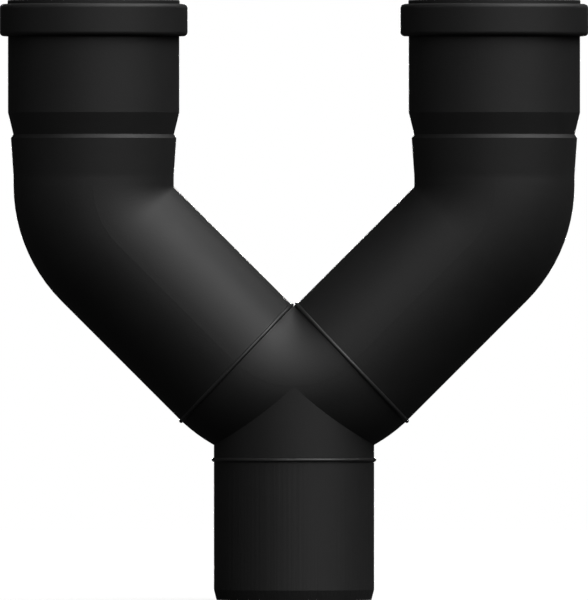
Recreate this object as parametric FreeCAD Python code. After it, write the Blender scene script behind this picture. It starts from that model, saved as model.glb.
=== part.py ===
# Twin duct Y branch of black plastic flue pipe: one plain spigot below, two ring-seal sockets above.
#
# Millimetres, +Z up. The origin is the centre of the spigot's end face, the spigot runs up the Z axis,
# and the sockets open upwards at -X and +X. Four mouldings meet in three flat butt welds, each with a
# roll of squeezed-out plastic outside and inside, and a rubber ring lies in the groove of each socket.

import FreeCAD, Part
import math
import os

Vector = FreeCAD.Vector

# Duct: the same round wall in the spigot, the Y body and both bends
duct_diameter = 80.0       # outside
duct_wall = 2.2
throat_radius = 1.8        # inside of every bend, so small that the corner looks sharp

# Spigot
spigot_length = 70.0       # end face to weld
lead_in_length = 5.15      # taper that finds its way into a socket and past the seal
lead_in_depth = 1.35
end_round = 0.25           # worn-in edge of the thin end

# Y body: a wide elbow that lies on its back, with a stub up into its middle
stub_length = 7.35         # weld to the two corners where the elbow stands out of the stub
body_turn = 87.0           # from one port plane of the elbow to the other

# Side bends
bend_turn = 45.0           # from the slanted leg to the upright socket
centre_distance = 200.0    # between the two socket axes
straight_length = 4.65     # from the bend to the foot of the collar

# Butt welds
roll_radius = 1.05         # section of the squeezed-out roll, centred on the duct's surface

# Collar round the socket's root, thicker towards its top
collar_length = 18.9
collar_swell = 1.3         # over the duct's radius
collar_blend = 45.0        # radius of the soft hollow in which the swell begins
collar_blend_steps = 4     # flat cones that draw the hollow, 1 degree apart
ledge_length = 1.9         # slope from the collar's top edge in to the neck
neck_swell = 0.1           # over the duct's radius

# Socket
socket_clearance = 0.3     # radial, round a duct of the same diameter
socket_wall = 2.45
cone_length = 10.85        # neck to barrel; inside, the cone stops the pipe
stop_rise = 0.5            # the inner cone starts this far above the outer one
barrel_length = 38.1       # cone to seal chamber

# Seal chamber, a thick bead with a groove inside, and the rim above it
chamber_length = 16.1
chamber_wall = 2.2
chamber_corner = 2.1
groove_depth = 4.4         # beyond the socket's bore
groove_corner = 0.8
rim_length = 2.0
rim_relief = 0.2           # the rim is wider than the bore by this, radially
rim_round = 0.5

# Rubber ring in the groove, its lips drawn as a pipe lays them back
seal_seat_gap = 0.1        # ring to groove, all round its section
seal_back = 2.6            # radial thickness of the ring's back
seal_back_chamfer = 0.6
lip_count = 2
lip_drop = 2.2             # tip below root
lip_root = 1.5             # thickness at the back
lip_tip = 0.8              # thickness at the tip
lip_gap = 0.15             # tip to a duct of the same diameter

# Radii and levels that follow from these
outer_radius = duct_diameter / 2
inner_radius = outer_radius - duct_wall
bend_radius = outer_radius + throat_radius
crown_drop = math.sqrt(bend_radius ** 2 + 2 * bend_radius * outer_radius)
elbow_level = spigot_length + stub_length + crown_drop
half_turn = math.radians(body_turn / 2)
lean = math.radians(bend_turn)
port_reach = bend_radius * math.sin(half_turn)
port_level = elbow_level - bend_radius * math.cos(half_turn)
bend_reach = bend_radius * (1 - math.cos(lean))
leg_length = (centre_distance / 2 - port_reach - bend_reach) / math.sin(lean)
leg_top_level = port_level + leg_length * math.cos(lean)
socket_base = leg_top_level + bend_radius * math.sin(lean)
bore_radius = outer_radius + socket_clearance
groove_radius = bore_radius + groove_depth
collar_foot = straight_length
collar_top = collar_foot + collar_length
neck_level = collar_top + ledge_length
cone_top = neck_level + cone_length
chamber_foot = cone_top + barrel_length
chamber_top = chamber_foot + chamber_length
mouth_level = chamber_top + rim_length
groove_foot = chamber_foot + chamber_wall
groove_top = chamber_top - chamber_wall

ORIGIN = Vector(0, 0, 0)
UP = Vector(0, 0, 1)
ELBOW_CENTRE = Vector(0, 0, elbow_level)
TOWARDS_VIEWER = Vector(0, -1, 0)
SAME_EDGE = 1e-4           # how near an edge lies to where it is looked for

# Every duct end is made too long by these and then cut off in its weld plane
overrun = outer_radius
overrun_turn = 30.0


def turned(outline):
    """Ring about the Z axis, from its section as (radius, height) points."""
    points = [Vector(radius, 0, height) for radius, height in outline]
    section = Part.Face(Part.makePolygon(points + points[:1]))
    return section.revolve(ORIGIN, UP, 360)


def rounded(solid, size, rings):
    """The turned solid with its edges at these (radius, height) places rounded to this size."""
    edges = []
    for edge in solid.Edges:
        if not isinstance(edge.Curve, Part.Circle):
            continue
        for radius, height in rings:
            same_radius = abs(edge.Curve.Radius - radius) < SAME_EDGE
            same_height = abs(edge.Curve.Center.z - height) < SAME_EDGE
            if same_radius and same_height:
                edges.append(edge)
    return solid.makeFillet(size, edges)


def disc(radius, centre, direction):
    """Flat disc, square to a direction. Its rim is two half circles that meet at front and back.

    A bend made from it has an outer and a throat-side skin, which part along the two lines where the
    elbow of the Y body touches its stub.
    """
    front = centre + Vector(0, -radius, 0)
    back = centre + Vector(0, radius, 0)
    upwards = direction.cross(Vector(0, 1, 0)) * radius
    halves = [Part.Arc(front, centre + upwards * turn, back).toShape() for turn in (-1, 1)]
    return Part.Face(Part.Wire(halves))


def duct_section(centre, direction):
    """Flat ring of the duct's wall, square to a direction."""
    outside = disc(outer_radius, centre, direction)
    return outside.cut(disc(inner_radius, centre, direction)).Faces[0]


def weld_roll(radius, centre, direction):
    """Roll round a duct's surface of this radius, in the weld plane through centre, square to direction."""
    return Part.makeTorus(radius, roll_radius, centre, direction)


def weld_rolls(centre, direction):
    """Outer and inner roll of one weld."""
    return [weld_roll(radius, centre, direction) for radius in (outer_radius, inner_radius)]


def far_side(centre, direction):
    """Round block on the side of a weld plane that direction points to, twice as wide as the duct."""
    reach = 2 * outer_radius
    return Part.makeCylinder(reach, reach, centre, direction)


def port(side):
    """Centre of the elbow's port on this side (-1 or 1), and the direction out of it."""
    centre = Vector(side * port_reach, 0, port_level)
    direction = Vector(side * math.cos(half_turn), 0, math.sin(half_turn))
    return centre, direction


def below_crease(radius):
    """Block under the two creases in which stub and elbow of one radius cross.

    Where a round bend and an upright tube of equal radius cross, each crease is an arc of a parabola
    seen from the front. Its focus is the centre of the bend, and the two arcs meet at the bend's own
    centre line.
    """
    reach = 1.3 * radius
    parabola = Part.Parabola()
    parabola.Focal = bend_radius / 2
    parabola.Center = Vector(-bend_radius / 2, 0, elbow_level)
    parabola.Axis = TOWARDS_VIEWER
    drop = math.sqrt(bend_radius ** 2 + 2 * bend_radius * reach)
    right_arc = Part.ArcOfParabola(parabola, -drop, -bend_radius).toShape()
    left_arc = right_arc.mirror(ORIGIN, Vector(1, 0, 0))
    shoulder = elbow_level - drop
    floor = spigot_length - radius
    sides = Part.makePolygon([
        Vector(reach, 0, shoulder),
        Vector(reach, 0, floor),
        Vector(-reach, 0, floor),
        Vector(-reach, 0, shoulder),
    ])
    outline = Part.Wire(Part.sortEdges([left_arc, right_arc] + sides.Edges)[0])
    section = Part.Face(outline)
    section.translate(Vector(0, -reach, 0))
    return section.extrude(Vector(0, 2 * reach, 0))


def stub_and_elbow(radius):
    """Solid round form of the Y body at this radius: the upright stub up to the crease, the elbow above."""
    block = below_crease(radius)
    foot = Vector(0, 0, spigot_length - overrun)
    stub = Part.makeCylinder(radius, elbow_level - foot.z, foot).common(block)
    start = -half_turn - math.radians(overrun_turn)
    centre = ELBOW_CENTRE + Vector(math.sin(start), 0, -math.cos(start)) * bend_radius
    along = Vector(math.cos(start), 0, math.sin(start))
    turn = body_turn + 2 * overrun_turn
    elbow = disc(radius, centre, along).revolve(ELBOW_CENTRE, TOWARDS_VIEWER, turn).cut(block)
    return stub.fuse(elbow)


def y_body():
    """Elbow and stub in one moulding, welded at its three ends."""
    planes = [port(-1), port(1), (Vector(0, 0, spigot_length), -UP)]
    outer_rolls = [weld_roll(outer_radius, *plane) for plane in planes]
    inner_rolls = [weld_roll(inner_radius, *plane) for plane in planes]
    outside = stub_and_elbow(outer_radius).fuse(outer_rolls)
    inside = stub_and_elbow(inner_radius).cut(inner_rolls)
    return outside.cut(inside).cut([far_side(*plane) for plane in planes])


def spigot():
    """Plain pipe end with a tapered lead-in, welded under the Y body."""
    tip_radius = outer_radius - lead_in_depth
    pipe = turned([
        (inner_radius, 0),
        (tip_radius, 0),
        (outer_radius, lead_in_length),
        (outer_radius, spigot_length + overrun),
        (inner_radius, spigot_length + overrun),
    ])
    pipe = rounded(pipe, end_round, [(tip_radius, 0)])
    top = Vector(0, 0, spigot_length)
    return pipe.fuse(weld_rolls(top, UP)).cut(far_side(top, UP))


def hollow_below_collar():
    """Section of the hollow in which the collar's swell begins, as (radius, height) points from below."""
    slope = math.atan(collar_swell / collar_length)
    reach = collar_blend * math.tan(slope / 2)
    points = []
    for step in range(collar_blend_steps + 1):
        angle = slope * step / collar_blend_steps
        radius = outer_radius + collar_blend * (1 - math.cos(angle))
        points.append((radius, collar_foot - reach + collar_blend * math.sin(angle)))
    return points


def socket():
    """Collar, cone, barrel, seal chamber and rim about the Z axis, from the top of the bend up."""
    collar_radius = outer_radius + collar_swell
    neck_radius = outer_radius + neck_swell
    barrel_radius = bore_radius + socket_wall
    chamber_radius = groove_radius + chamber_wall
    rim_bore = bore_radius + rim_relief
    rim_radius = rim_bore + socket_wall
    outside = [(outer_radius, 0)] + hollow_below_collar() + [
        (collar_radius, collar_top),
        (neck_radius, neck_level),
        (barrel_radius, cone_top),
        (barrel_radius, chamber_foot),
        (chamber_radius, chamber_foot),
        (chamber_radius, chamber_top),
        (rim_radius, chamber_top),
        (rim_radius, mouth_level),
    ]
    inside = [
        (rim_bore, mouth_level),
        (rim_bore, groove_top),
        (groove_radius, groove_top),
        (groove_radius, groove_foot),
        (bore_radius, groove_foot),
        (bore_radius, cone_top + stop_rise),
        (inner_radius, neck_level + stop_rise),
        (inner_radius, 0),
    ]
    shell = turned(outside + inside)
    shell = rounded(shell, chamber_corner, [(chamber_radius, chamber_foot), (chamber_radius, chamber_top)])
    shell = rounded(shell, groove_corner, [(groove_radius, groove_foot), (groove_radius, groove_top)])
    return rounded(shell, rim_round, [(rim_radius, mouth_level), (rim_bore, mouth_level)])


def bend(side):
    """Slanted leg, bend and socket in one moulding, on this side (-1 or 1) of the Y body."""
    weld_centre, outwards = port(side)
    run = Vector(side * math.sin(lean), 0, math.cos(lean))
    leg_foot = weld_centre - run * overrun
    leg = duct_section(leg_foot, run).extrude(run * (leg_length + overrun))
    turn_centre = Vector(side * (centre_distance / 2 - bend_radius), 0, socket_base)
    leg_top = weld_centre + run * leg_length
    turn = duct_section(leg_top, run).revolve(turn_centre, TOWARDS_VIEWER * side, bend_turn)
    top = socket()
    top.translate(Vector(side * centre_distance / 2, 0, socket_base))
    body_side = far_side(weld_centre, -outwards)
    return leg.fuse([turn, top] + weld_rolls(weld_centre, outwards)).cut(body_side)


def seal(side):
    """Rubber lip ring in the groove of the socket on this side (-1 or 1)."""
    back_radius = groove_radius - seal_seat_gap
    front_radius = back_radius - seal_back
    tip_radius = outer_radius + lip_gap
    foot = groove_foot + seal_seat_gap
    head = groove_top - seal_seat_gap
    pitch = (head - foot) / lip_count
    outline = [
        (back_radius - seal_back_chamfer, head),
        (back_radius, head - seal_back_chamfer),
        (back_radius, foot + seal_back_chamfer),
        (back_radius - seal_back_chamfer, foot),
        (front_radius, foot),
    ]
    for number in range(lip_count):
        middle = foot + (number + 0.5) * pitch
        root = middle + lip_drop / 2
        tip = middle - lip_drop / 2
        outline += [
            (front_radius, root - lip_root / 2),
            (tip_radius, tip - lip_tip / 2),
            (tip_radius, tip + lip_tip / 2),
            (front_radius, root + lip_root / 2),
        ]
    outline.append((front_radius, head))
    ring = turned(outline)
    ring.translate(Vector(side * centre_distance / 2, 0, socket_base))
    return ring


def one_solid(shape):
    """The single solid of a shape, which the joining steps wrap in a compound."""
    return shape.Solids[0]


def main():
    """Builds each piece and writes it to its own file."""
    pieces = {
        "spigot": spigot(),
        "y_body": y_body(),
        "left_bend": bend(-1),
        "right_bend": bend(1),
        "left_seal": seal(-1),
        "right_seal": seal(1),
    }
    os.makedirs("parts", exist_ok=True)
    for name, shape in pieces.items():
        one_solid(shape).exportStep(f"parts/{name}.step")


main()
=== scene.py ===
"""Dresses the twin branch of black plastic flue pipe and stands it in a plain studio.

The branch is four polypropylene parts joined by three butt welds, with a rubber ring in each socket.
Lengths are in metres and heights of relief in millimetres. -Y looks at the viewer, +Z is up.
"""

import logging
import math
from collections.abc import Mapping
from dataclasses import dataclass
from enum import Enum
from typing import Any

import bpy
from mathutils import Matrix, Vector


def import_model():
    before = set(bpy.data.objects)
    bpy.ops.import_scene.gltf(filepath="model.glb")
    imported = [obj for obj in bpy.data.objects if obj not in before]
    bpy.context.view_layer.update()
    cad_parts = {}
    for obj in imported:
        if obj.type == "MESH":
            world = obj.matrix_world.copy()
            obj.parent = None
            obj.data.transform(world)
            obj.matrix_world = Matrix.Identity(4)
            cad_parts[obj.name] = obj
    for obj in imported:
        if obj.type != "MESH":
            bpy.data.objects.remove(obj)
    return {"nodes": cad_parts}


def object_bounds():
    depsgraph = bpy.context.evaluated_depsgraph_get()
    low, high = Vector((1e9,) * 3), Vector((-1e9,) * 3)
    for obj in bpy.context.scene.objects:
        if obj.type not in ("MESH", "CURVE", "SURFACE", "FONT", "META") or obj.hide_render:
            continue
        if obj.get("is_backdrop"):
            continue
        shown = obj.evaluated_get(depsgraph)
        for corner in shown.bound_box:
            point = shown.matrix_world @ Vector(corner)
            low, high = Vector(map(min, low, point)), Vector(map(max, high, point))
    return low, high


LOG = logging.getLogger("duct_y_branch")
MM = 0.001

# The sRGB curve: straight below the first value, and a power curve with an offset above it
SRGB_STRAIGHT_END = 0.04045
SRGB_STRAIGHT_SLOPE = 12.92
SRGB_OFFSET = 0.055
SRGB_POWER = 2.4
HEX_WHITE = 255

# Sockets of the Mix node in its colour and number forms, which share their names
MIX_FACTOR = 0
MIX_NUMBER_A, MIX_NUMBER_B, MIX_NUMBER_RESULT = 2, 3, 0
MIX_COLOUR_A, MIX_COLOUR_B, MIX_COLOUR_RESULT = 6, 7, 2


class Ray(Enum):
    """Kinds of ray that the studio answers in their own way, by their output on the Light Path node."""

    CAMERA = "Is Camera Ray"
    GLOSSY = "Is Glossy Ray"
    TRANSMISSION = "Is Transmission Ray"


class Side(Enum):
    """The two sockets, by the name that their CAD nodes begin with."""

    LEFT = "left"
    RIGHT = "right"


def linear(hex_colour: str) -> tuple[float, float, float, float]:
    """Turns an sRGB hex colour into the linear colour that a shader takes.

    Args:
        hex_colour: Six hex digits, such as "1b1b1d".

    Returns:
        Red, green, blue and alpha, each from 0 to 1.
    """
    channels = []
    for start in (0, 2, 4):
        value = int(hex_colour[start:start + 2], 16) / HEX_WHITE
        if value <= SRGB_STRAIGHT_END:
            channels.append(value / SRGB_STRAIGHT_SLOPE)
        else:
            channels.append(((value + SRGB_OFFSET) / (1 + SRGB_OFFSET)) ** SRGB_POWER)
    red, green, blue = channels
    return red, green, blue, 1.0


def add_node(
    tree: bpy.types.NodeTree,
    kind: str,
    settings: Mapping[str | int, Any] | None = None,
    links: Mapping[str | int, bpy.types.NodeSocket] | None = None,
) -> bpy.types.Node:
    """Adds one node, with its settings and the links into it.

    Args:
        tree: The node tree that takes the node.
        kind: The node's type, as Blender names it.
        settings: Values, by the name of a property or by the name or number of an input.
        links: Output sockets, by the name or number of the input that each feeds.

    Returns:
        The new node.
    """
    node = tree.nodes.new(kind)
    for name, value in (settings or {}).items():
        if isinstance(name, str) and hasattr(node, name):
            setattr(node, name, value)
        else:
            node.inputs[name].default_value = value
    for name, source in (links or {}).items():
        tree.links.new(source, node.inputs[name])
    return node


@dataclass(frozen=True)
class Welds:
    """Where the three butt welds lie, from the branch's own sizes."""

    duct_radius: float = 40.0 * MM
    throat_radius: float = 1.8 * MM
    spigot_length: float = 70.0 * MM
    stub_length: float = 7.35 * MM
    half_turn: float = math.radians(43.5)
    # The roll's section has a radius of 1.05 mm, and the melt fades out just beyond it
    melt_reach: float = 1.1 * MM
    melt_fade: float = 0.3 * MM

    def leg_plane(self) -> tuple[Vector, float]:
        """Works out the plane of a leg's weld, on the +X side.

        Returns:
            The plane's direction, along the leg, and its distance from the origin along it.
        """
        bend_radius = self.duct_radius + self.throat_radius
        crown_drop = math.sqrt(bend_radius ** 2 + 2 * bend_radius * self.duct_radius)
        elbow_level = self.spigot_length + self.stub_length + crown_drop
        radial = Vector((math.sin(self.half_turn), 0, -math.cos(self.half_turn)))
        direction = Vector((math.cos(self.half_turn), 0, math.sin(self.half_turn)))
        centre = Vector((0, 0, elbow_level)) + radial * bend_radius
        return direction, direction.dot(centre)

    def melt(self, tree: bpy.types.NodeTree, place: bpy.types.NodeSocket) -> bpy.types.NodeSocket:
        """Adds the nodes that find the squeezed-out roll of each weld.

        Args:
            tree: The material's node tree.
            place: Object coordinates.

        Returns:
            A socket that is 1 on the rolls and 0 away from them.
        """
        direction, distance = self.leg_plane()
        mirrored = add_node(tree, "ShaderNodeVectorMath", {"operation": "ABSOLUTE"}, {0: place})
        along = add_node(
            tree,
            "ShaderNodeVectorMath",
            {"operation": "DOT_PRODUCT", 1: direction},
            {0: mirrored.outputs["Vector"]},
        )
        leg_gap = add_node(
            tree, "ShaderNodeMath", {"operation": "SUBTRACT", 1: distance}, {0: along.outputs["Value"]}
        )
        parts = add_node(tree, "ShaderNodeSeparateXYZ", links={0: mirrored.outputs["Vector"]})
        foot_gap = add_node(
            tree, "ShaderNodeMath", {"operation": "SUBTRACT", 1: self.spigot_length}, {0: parts.outputs["Z"]}
        )
        leg_reach = add_node(tree, "ShaderNodeMath", {"operation": "ABSOLUTE"}, {0: leg_gap.outputs[0]})
        foot_reach = add_node(tree, "ShaderNodeMath", {"operation": "ABSOLUTE"}, {0: foot_gap.outputs[0]})
        nearest = add_node(
            tree,
            "ShaderNodeMath",
            {"operation": "MINIMUM"},
            {0: leg_reach.outputs[0], 1: foot_reach.outputs[0]},
        )
        fade = {
            "interpolation_type": "SMOOTHSTEP",
            "From Min": self.melt_reach,
            "From Max": self.melt_reach + self.melt_fade,
            "To Min": 1.0,
            "To Max": 0.0,
        }
        return add_node(tree, "ShaderNodeMapRange", fade, {"Value": nearest.outputs[0]}).outputs["Result"]


@dataclass(frozen=True)
class Finish:
    """A dark, coloured-through plastic or rubber with a soft shine. Each kind adds its own relief."""

    name: str
    deep_hex: str
    pale_hex: str
    ior: float
    specular_level: float
    smoothest: float
    roughest: float
    # Colour and roughness wander a little, in soft patches of this size
    patch_size: float
    patch_detail: float = 3.0
    patch_raggedness: float = 0.5
    patch_distortion: float = 0.6

    def relief(self, tree: bpy.types.NodeTree, place: bpy.types.NodeSocket) -> bpy.types.NodeSocket:
        """Adds the nodes of the surface's relief.

        Args:
            tree: The material's node tree.
            place: Object coordinates.

        Returns:
            Height in millimetres.
        """
        raise NotImplementedError(self.name)

    def colour(
        self, tree: bpy.types.NodeTree, place: bpy.types.NodeSocket, patches: bpy.types.NodeSocket
    ) -> bpy.types.NodeSocket:
        """Adds the nodes of the surface's colour, which wanders a little from patch to patch.

        Args:
            tree: The material's node tree.
            place: Object coordinates, which this plain colour does not use.
            patches: Soft patches from 0 to 1.

        Returns:
            Colour.
        """
        ends = {
            "data_type": "RGBA",
            MIX_COLOUR_A: linear(self.deep_hex),
            MIX_COLOUR_B: linear(self.pale_hex),
        }
        return add_node(tree, "ShaderNodeMix", ends, {MIX_FACTOR: patches}).outputs[MIX_COLOUR_RESULT]

    def shine(
        self, tree: bpy.types.NodeTree, place: bpy.types.NodeSocket, patches: bpy.types.NodeSocket
    ) -> bpy.types.NodeSocket:
        """Adds the nodes of the surface's roughness, which wanders a little from patch to patch.

        Args:
            tree: The material's node tree.
            place: Object coordinates, which this plain roughness does not use.
            patches: Soft patches from 0 to 1.

        Returns:
            Roughness.
        """
        spread = {"To Min": self.smoothest, "To Max": self.roughest}
        return add_node(tree, "ShaderNodeMapRange", spread, {"Value": patches}).outputs["Result"]

    def material(self) -> bpy.types.Material:
        """Builds the material of this finish.

        Returns:
            The material, ready for an object's slots.
        """
        made = bpy.data.materials.new(self.name)
        made.use_nodes = True
        tree = made.node_tree
        tree.nodes.clear()
        place = add_node(tree, "ShaderNodeTexCoord").outputs["Object"]
        noise = {
            "Scale": 1 / self.patch_size,
            "Detail": self.patch_detail,
            "Roughness": self.patch_raggedness,
            "Distortion": self.patch_distortion,
        }
        patches = add_node(tree, "ShaderNodeTexNoise", noise, {"Vector": place}).outputs["Fac"]
        bump = add_node(
            tree, "ShaderNodeBump", {"Strength": 1.0, "Distance": MM}, {"Height": self.relief(tree, place)}
        )
        shader = add_node(
            tree,
            "ShaderNodeBsdfPrincipled",
            {"IOR": self.ior, "Specular IOR Level": self.specular_level},
            {
                "Base Color": self.colour(tree, place, patches),
                "Roughness": self.shine(tree, place, patches),
                "Normal": bump.outputs["Normal"],
            },
        )
        add_node(tree, "ShaderNodeOutputMaterial", links={"Surface": shader.outputs["BSDF"]})
        return made


@dataclass(frozen=True)
class BlackPolypropylene(Finish):
    """Polypropylene coloured through with carbon black, shinier where a weld melted it, with a painted
    highlight that makes the welds' rolls a shade paler.
    """

    deep_hex: str = "111111"
    pale_hex: str = "141414"
    # Polypropylene's own index, with half the gloss that goes with it: the photo shows a dull satin
    ior: float = 1.49
    specular_level: float = 0.25
    smoothest: float = 0.52
    roughest: float = 0.58
    patch_size: float = 14.0 * MM
    # A weld's roll sets in the open air, so it has no tool marks and catches a tighter highlight
    melt_roughness: float = 0.36
    # The rolls' paler colour is a painted highlight, which brightens their shine through the colour
    melt_highlight_hex: str = "1c1c1c"
    welds: Welds = Welds()

    def colour(
        self, tree: bpy.types.NodeTree, place: bpy.types.NodeSocket, patches: bpy.types.NodeSocket
    ) -> bpy.types.NodeSocket:
        """Adds the nodes of the colour, with a painted highlight that makes the welds' rolls paler than the
        rest.

        Args:
            tree: The material's node tree.
            place: Object coordinates.
            patches: Soft patches from 0 to 1.

        Returns:
            Colour.
        """
        # Painted highlight: the welds' rolls take the paler colour
        mixed = add_node(
            tree,
            "ShaderNodeMix",
            {"data_type": "RGBA", MIX_COLOUR_B: linear(self.melt_highlight_hex)},
            {MIX_FACTOR: self.welds.melt(tree, place), MIX_COLOUR_A: super().colour(tree, place, patches)},
        )
        return mixed.outputs[MIX_COLOUR_RESULT]

    def shine(
        self, tree: bpy.types.NodeTree, place: bpy.types.NodeSocket, patches: bpy.types.NodeSocket
    ) -> bpy.types.NodeSocket:
        """Adds the nodes of the roughness, with the welds' rolls smoother than the rest.

        Args:
            tree: The material's node tree.
            place: Object coordinates.
            patches: Soft patches from 0 to 1.

        Returns:
            Roughness.
        """
        mixed = add_node(
            tree,
            "ShaderNodeMix",
            {"data_type": "FLOAT", MIX_NUMBER_B: self.melt_roughness},
            {MIX_FACTOR: self.welds.melt(tree, place), MIX_NUMBER_A: super().shine(tree, place, patches)},
        )
        return mixed.outputs[MIX_NUMBER_RESULT]

    def off_the_melt(
        self, tree: bpy.types.NodeTree, place: bpy.types.NodeSocket, height: bpy.types.NodeSocket
    ) -> bpy.types.NodeSocket:
        """Adds the nodes that leave the welds' rolls without tool marks.

        Args:
            tree: The material's node tree.
            place: Object coordinates.
            height: Height of the tool marks in millimetres.

        Returns:
            The same height, 0 on the rolls.
        """
        mixed = add_node(
            tree,
            "ShaderNodeMix",
            {"data_type": "FLOAT", MIX_NUMBER_B: 0.0},
            {MIX_FACTOR: self.welds.melt(tree, place), MIX_NUMBER_A: height},
        )
        return mixed.outputs[MIX_NUMBER_RESULT]


@dataclass(frozen=True)
class MouldedPolypropylene(BlackPolypropylene):
    """Black polypropylene, injection moulded in a spark-eroded steel mould.

    To the eye it is an even satin black with broad, soft highlights, a fine dry grain, and a hair-thin
    flash line round the fitting where the mould's front and back halves met.
    """

    # Spark-eroded grain is about 0.1 mm across, which is too fine to show at half a millimetre to a
    # pixel, so it is drawn 1.1 mm across and as faint as the real one looks
    grain_size: float = 1.1 * MM
    grain_detail: float = 1.0
    grain_height_mm: float = 0.035
    # The flash is about 0.2 mm wide and 0.05 mm high, and is drawn larger for the same reason
    flash_half_width: float = 0.55 * MM
    flash_height_mm: float = 0.13

    def relief(self, tree: bpy.types.NodeTree, place: bpy.types.NodeSocket) -> bpy.types.NodeSocket:
        """Adds the nodes of the mould's grain and of its flash line in the middle plane.

        Args:
            tree: The material's node tree.
            place: Object coordinates.

        Returns:
            Height in millimetres.
        """
        noise = {"Scale": 1 / self.grain_size, "Detail": self.grain_detail}
        grain = add_node(tree, "ShaderNodeTexNoise", noise, {"Vector": place}).outputs["Fac"]
        grain_height = add_node(
            tree, "ShaderNodeMath", {"operation": "MULTIPLY", 1: self.grain_height_mm}, {0: grain}
        )
        parts = add_node(tree, "ShaderNodeSeparateXYZ", links={0: place})
        reach = add_node(tree, "ShaderNodeMath", {"operation": "ABSOLUTE"}, {0: parts.outputs["Y"]})
        ridge = {
            "interpolation_type": "SMOOTHSTEP",
            "From Min": 0.0,
            "From Max": self.flash_half_width,
            "To Min": self.flash_height_mm,
            "To Max": 0.0,
        }
        flash = add_node(tree, "ShaderNodeMapRange", ridge, {"Value": reach.outputs[0]}).outputs["Result"]
        both = add_node(
            tree, "ShaderNodeMath", {"operation": "ADD"}, {0: grain_height.outputs[0], 1: flash}
        )
        return self.off_the_melt(tree, place, both.outputs[0])


@dataclass(frozen=True)
class ExtrudedPolypropylene(BlackPolypropylene):
    """Black polypropylene, drawn out of a ring-shaped die as pipe and sawn to length.

    To the eye it is the same satin black, with faint draw lines that run the length of the pipe.
    """

    # Draw lines are 0.1 to 1 mm apart and a few thousandths of a millimetre deep, which is too fine to
    # show, so they are drawn wider apart and deeper, and as faint as the real ones look
    line_spacing: float = 1.6 * MM
    line_length: float = 160.0 * MM
    line_detail: float = 2.0
    line_height_mm: float = 0.16

    def relief(self, tree: bpy.types.NodeTree, place: bpy.types.NodeSocket) -> bpy.types.NodeSocket:
        """Adds the nodes of the draw lines, a noise pulled out along the pipe.

        Args:
            tree: The material's node tree.
            place: Object coordinates.

        Returns:
            Height in millimetres.
        """
        across, along = 1 / self.line_spacing, 1 / self.line_length
        pulled = add_node(tree, "ShaderNodeMapping", {"Scale": (across, across, along)}, {"Vector": place})
        noise = {"Scale": 1.0, "Detail": self.line_detail}
        lines = add_node(tree, "ShaderNodeTexNoise", noise, {"Vector": pulled.outputs["Vector"]})
        height = add_node(
            tree,
            "ShaderNodeMath",
            {"operation": "MULTIPLY", 1: self.line_height_mm},
            {0: lines.outputs["Fac"]},
        )
        return self.off_the_melt(tree, place, height.outputs[0])


@dataclass(frozen=True)
class SealRubber(Finish):
    """EPDM rubber, moulded and cured in a closed ring-shaped tool.

    To the eye it is a dull, slightly brown black with a faint grey bloom and no clear highlight.
    """

    deep_hex: str = "131211"
    pale_hex: str = "1c1b1a"
    ior: float = 1.52
    specular_level: float = 0.3
    smoothest: float = 0.7
    roughest: float = 0.85
    # Bloom is a fine powder that gathers in patches of a few millimetres
    patch_size: float = 5.0 * MM
    bloom_grain: float = 0.9 * MM
    bloom_detail: float = 2.0
    bloom_height_mm: float = 0.02

    def relief(self, tree: bpy.types.NodeTree, place: bpy.types.NodeSocket) -> bpy.types.NodeSocket:
        """Adds the nodes of the rubber's dry, slightly uneven skin.

        Args:
            tree: The material's node tree.
            place: Object coordinates.

        Returns:
            Height in millimetres.
        """
        noise = {"Scale": 1 / self.bloom_grain, "Detail": self.bloom_detail}
        skin = add_node(tree, "ShaderNodeTexNoise", noise, {"Vector": place}).outputs["Fac"]
        height = add_node(
            tree, "ShaderNodeMath", {"operation": "MULTIPLY", 1: self.bloom_height_mm}, {0: skin}
        )
        return height.outputs[0]


@dataclass(frozen=True)
class Lamp:
    """One softbox, so far off that its light is even over the whole branch."""

    name: str
    azimuth_deg: float
    elevation_deg: float
    strength: float
    width_deg: float = 60.0

    def hang(self) -> None:
        """Hangs the softbox in its direction from the branch, 0 azimuth being the viewer's."""
        azimuth, elevation = math.radians(self.azimuth_deg), math.radians(self.elevation_deg)
        towards_lamp = Vector((
            math.sin(azimuth) * math.cos(elevation),
            -math.cos(azimuth) * math.cos(elevation),
            math.sin(elevation),
        ))
        light = bpy.data.lights.new(self.name, "SUN")
        light.energy = self.strength
        light.angle = math.radians(self.width_deg)
        lamp = bpy.data.objects.new(self.name, light)
        lamp.rotation_euler = towards_lamp.to_track_quat("Z", "Y").to_euler()
        bpy.context.scene.collection.objects.link(lamp)
        LOG.info("%s hung at azimuth %.0f, elevation %.0f", self.name, self.azimuth_deg, self.elevation_deg)


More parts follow.
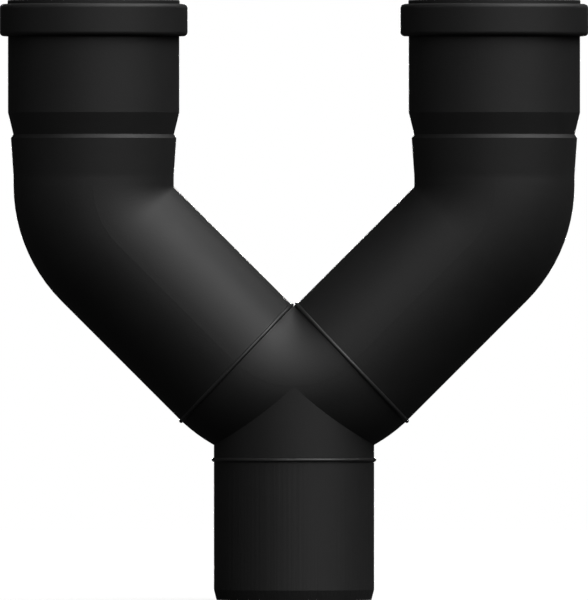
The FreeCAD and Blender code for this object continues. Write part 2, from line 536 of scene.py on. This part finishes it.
@dataclass
class Studio:
    """The pale floor, the white surroundings, the softboxes and the long lens."""

    floor_radius: float = 4.0
    floor_sides: int = 96
    # A lens this long all but does away with perspective, as in the photo
    sensor_width_mm: float = 36.0
    lens_mm: float = 1600.0
    far_limit: float = 100.0
    # Radiance of the dim room that the softboxes stand in
    room: float = 0.014
    # Share of the white surroundings that a glossy surface shows. The photo's edges and undersides are
    # nearly black, so the real room was white only where the camera saw it
    glossy_share: float = 0.005
    # The floor's own white to the camera, and the grey paint that takes the lamps' light on top of it
    floor_white: float = 0.86
    floor_hex: str = "5f5f5f"
    # The paint to every ray but the camera's, so dark that it doesn't light the undersides
    floor_unseen_hex: str = "1f1f1f"
    lamps: tuple[Lamp, ...] = (
        Lamp("small_key_softbox", azimuth_deg=60.0, elevation_deg=50.0, strength=0.92, width_deg=25.0),
        Lamp("key_softbox", azimuth_deg=45.0, elevation_deg=35.0, strength=1.56),
        Lamp("high_softbox", azimuth_deg=30.0, elevation_deg=65.0, strength=1.35),
        Lamp("front_softbox", azimuth_deg=0.0, elevation_deg=35.0, strength=1.28),
        Lamp("right_softbox", azimuth_deg=105.0, elevation_deg=60.0, strength=2.4),
        Lamp("left_softbox", azimuth_deg=-60.0, elevation_deg=10.0, strength=0.22),
        # It stands almost level behind the branch, so it lights the back, and from the front only a few
        # pixels at the very edge
        Lamp("back_softbox", azimuth_deg=180.0, elevation_deg=3.0, strength=2.4, width_deg=12.0),
    )

    def white_for_seeing(self, tree: bpy.types.NodeTree, white: float) -> bpy.types.NodeSocket:
        """Adds the nodes of a white that only a look at the background meets.

        Args:
            tree: The node tree of the world or the floor.
            white: Strength of the white for a ray from the camera or through glass.

        Returns:
            Strength, lower for glossy rays and 0 for diffuse ones.
        """
        path = add_node(tree, "ShaderNodeLightPath")
        clear = add_node(
            tree,
            "ShaderNodeMath",
            {"operation": "MAXIMUM"},
            {0: path.outputs[Ray.CAMERA.value], 1: path.outputs[Ray.TRANSMISSION.value]},
        )
        glossy = add_node(
            tree,
            "ShaderNodeMath",
            {"operation": "MULTIPLY", 1: self.glossy_share},
            {0: path.outputs[Ray.GLOSSY.value]},
        )
        seen = add_node(
            tree, "ShaderNodeMath", {"operation": "MAXIMUM"}, {0: clear.outputs[0], 1: glossy.outputs[0]}
        )
        return add_node(
            tree, "ShaderNodeMath", {"operation": "MULTIPLY", 1: white}, {0: seen.outputs[0]}
        ).outputs[0]

    def surroundings(self) -> None:
        """Makes the world white to look at and dim to be lit by."""
        world = bpy.data.worlds.new("white_surroundings")
        world.use_nodes = True
        tree = world.node_tree
        tree.nodes.clear()
        strength = add_node(
            tree,
            "ShaderNodeMath",
            {"operation": "MAXIMUM", 1: self.room},
            {0: self.white_for_seeing(tree, 1.0)},
        )
        white = add_node(
            tree, "ShaderNodeBackground", {"Color": linear("ffffff")}, {"Strength": strength.outputs[0]}
        )
        add_node(tree, "ShaderNodeOutputWorld", links={"Surface": white.outputs["Background"]})
        bpy.context.scene.world = world

    def floor(self) -> bpy.types.Object:
        """Lays the floor, white to look at but for the branch's soft shadow.

        Returns:
            The floor, marked as stage.
        """
        bpy.ops.mesh.primitive_circle_add(
            vertices=self.floor_sides, radius=self.floor_radius, fill_type="NGON", location=(0, 0, 0)
        )
        floor = bpy.context.object
        floor.name = "pale_floor"
        coat = bpy.data.materials.new("matt_white_floor_paint")
        coat.use_nodes = True
        tree = coat.node_tree
        tree.nodes.clear()
        path = add_node(tree, "ShaderNodeLightPath")
        colours = {
            "data_type": "RGBA",
            MIX_COLOUR_A: linear(self.floor_unseen_hex),
            MIX_COLOUR_B: linear(self.floor_hex),
        }
        colour = add_node(tree, "ShaderNodeMix", colours, {MIX_FACTOR: path.outputs[Ray.CAMERA.value]})
        lit = add_node(
            tree, "ShaderNodeBsdfDiffuse", links={"Color": colour.outputs[MIX_COLOUR_RESULT]}
        )
        glow = add_node(
            tree,
            "ShaderNodeEmission",
            {"Color": linear("ffffff")},
            {"Strength": self.white_for_seeing(tree, self.floor_white)},
        )
        both = add_node(tree, "ShaderNodeAddShader", links={0: lit.outputs["BSDF"], 1: glow.outputs[0]})
        add_node(tree, "ShaderNodeOutputMaterial", links={"Surface": both.outputs["Shader"]})
        floor.data.materials.append(coat)
        floor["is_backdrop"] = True
        return floor

    def camera(self, height: float) -> None:
        """Stands the camera square in front of the branch and level with its middle, to fill the frame.

        Args:
            height: Overall height of the branch, which is the frame's long side.
        """
        lens = bpy.data.cameras.new("long_lens")
        lens.sensor_width = self.sensor_width_mm
        lens.lens = self.lens_mm
        lens.clip_end = self.far_limit
        camera = bpy.data.objects.new("long_lens", lens)
        distance = height * self.lens_mm / self.sensor_width_mm
        camera.location = (0, -distance, height / 2)
        camera.rotation_euler = (math.pi / 2, 0, 0)
        bpy.context.scene.collection.objects.link(camera)
        bpy.context.scene.camera = camera
        LOG.info("long_lens stands %.2f m in front", distance)

    def build(self, height: float) -> None:
        """Sets up the whole studio.

        Args:
            height: Overall height of the branch.
        """
        bpy.context.scene.view_settings.view_transform = "Standard"
        self.camera(height)
        self.surroundings()
        floor = self.floor()
        LOG.info("%s laid", floor.name)
        for lamp in self.lamps:
            lamp.hang()


@dataclass
class WeldedDuct:
    """The spigot and the Y body, and the bends with their sockets: all that gas flows through."""

    nodes: Mapping[str, bpy.types.Object]
    pipe: ExtrudedPolypropylene
    mouldings: MouldedPolypropylene
    pipe_node: str = "spigot"
    body_node: str = "y_body"

    def dress(self) -> None:
        """Gives the pipe and each moulding its own plastic."""
        pipe, moulded = self.pipe.material(), self.mouldings.material()
        paint(self.nodes[self.pipe_node], pipe)
        for name in [self.body_node] + [f"{side.value}_bend" for side in Side]:
            paint(self.nodes[name], moulded)


@dataclass
class LipSeals:
    """The rubber ring in each socket's groove."""

    nodes: Mapping[str, bpy.types.Object]
    rubber: SealRubber

    def dress(self) -> None:
        """Gives each ring its rubber."""
        made = self.rubber.material()
        for side in Side:
            paint(self.nodes[f"{side.value}_seal"], made)


def paint(node: bpy.types.Object, material: bpy.types.Material) -> None:
    """Puts a material in every slot of a CAD node.

    Args:
        node: The carried-over part.
        material: Its finish.
    """
    for slot in node.material_slots:
        slot.material = material
    LOG.info("%s is in %s", node.name, material.name)


def main() -> None:
    """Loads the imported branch, dresses it and sets up the studio."""
    logging.basicConfig(level=logging.INFO, format="%(name)s: %(message)s")
    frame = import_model()
    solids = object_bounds()
    bpy.ops.object.select_all(action="DESELECT")
    pipe = ExtrudedPolypropylene("extruded_black_polypropylene")
    mouldings = MouldedPolypropylene("moulded_black_polypropylene")
    WeldedDuct(frame["nodes"], pipe, mouldings).dress()
    LipSeals(frame["nodes"], SealRubber("moulded_epdm_rubber")).dress()
    Studio().build(solids[1].z - solids[0].z)


if __name__ == "__main__":
    main()
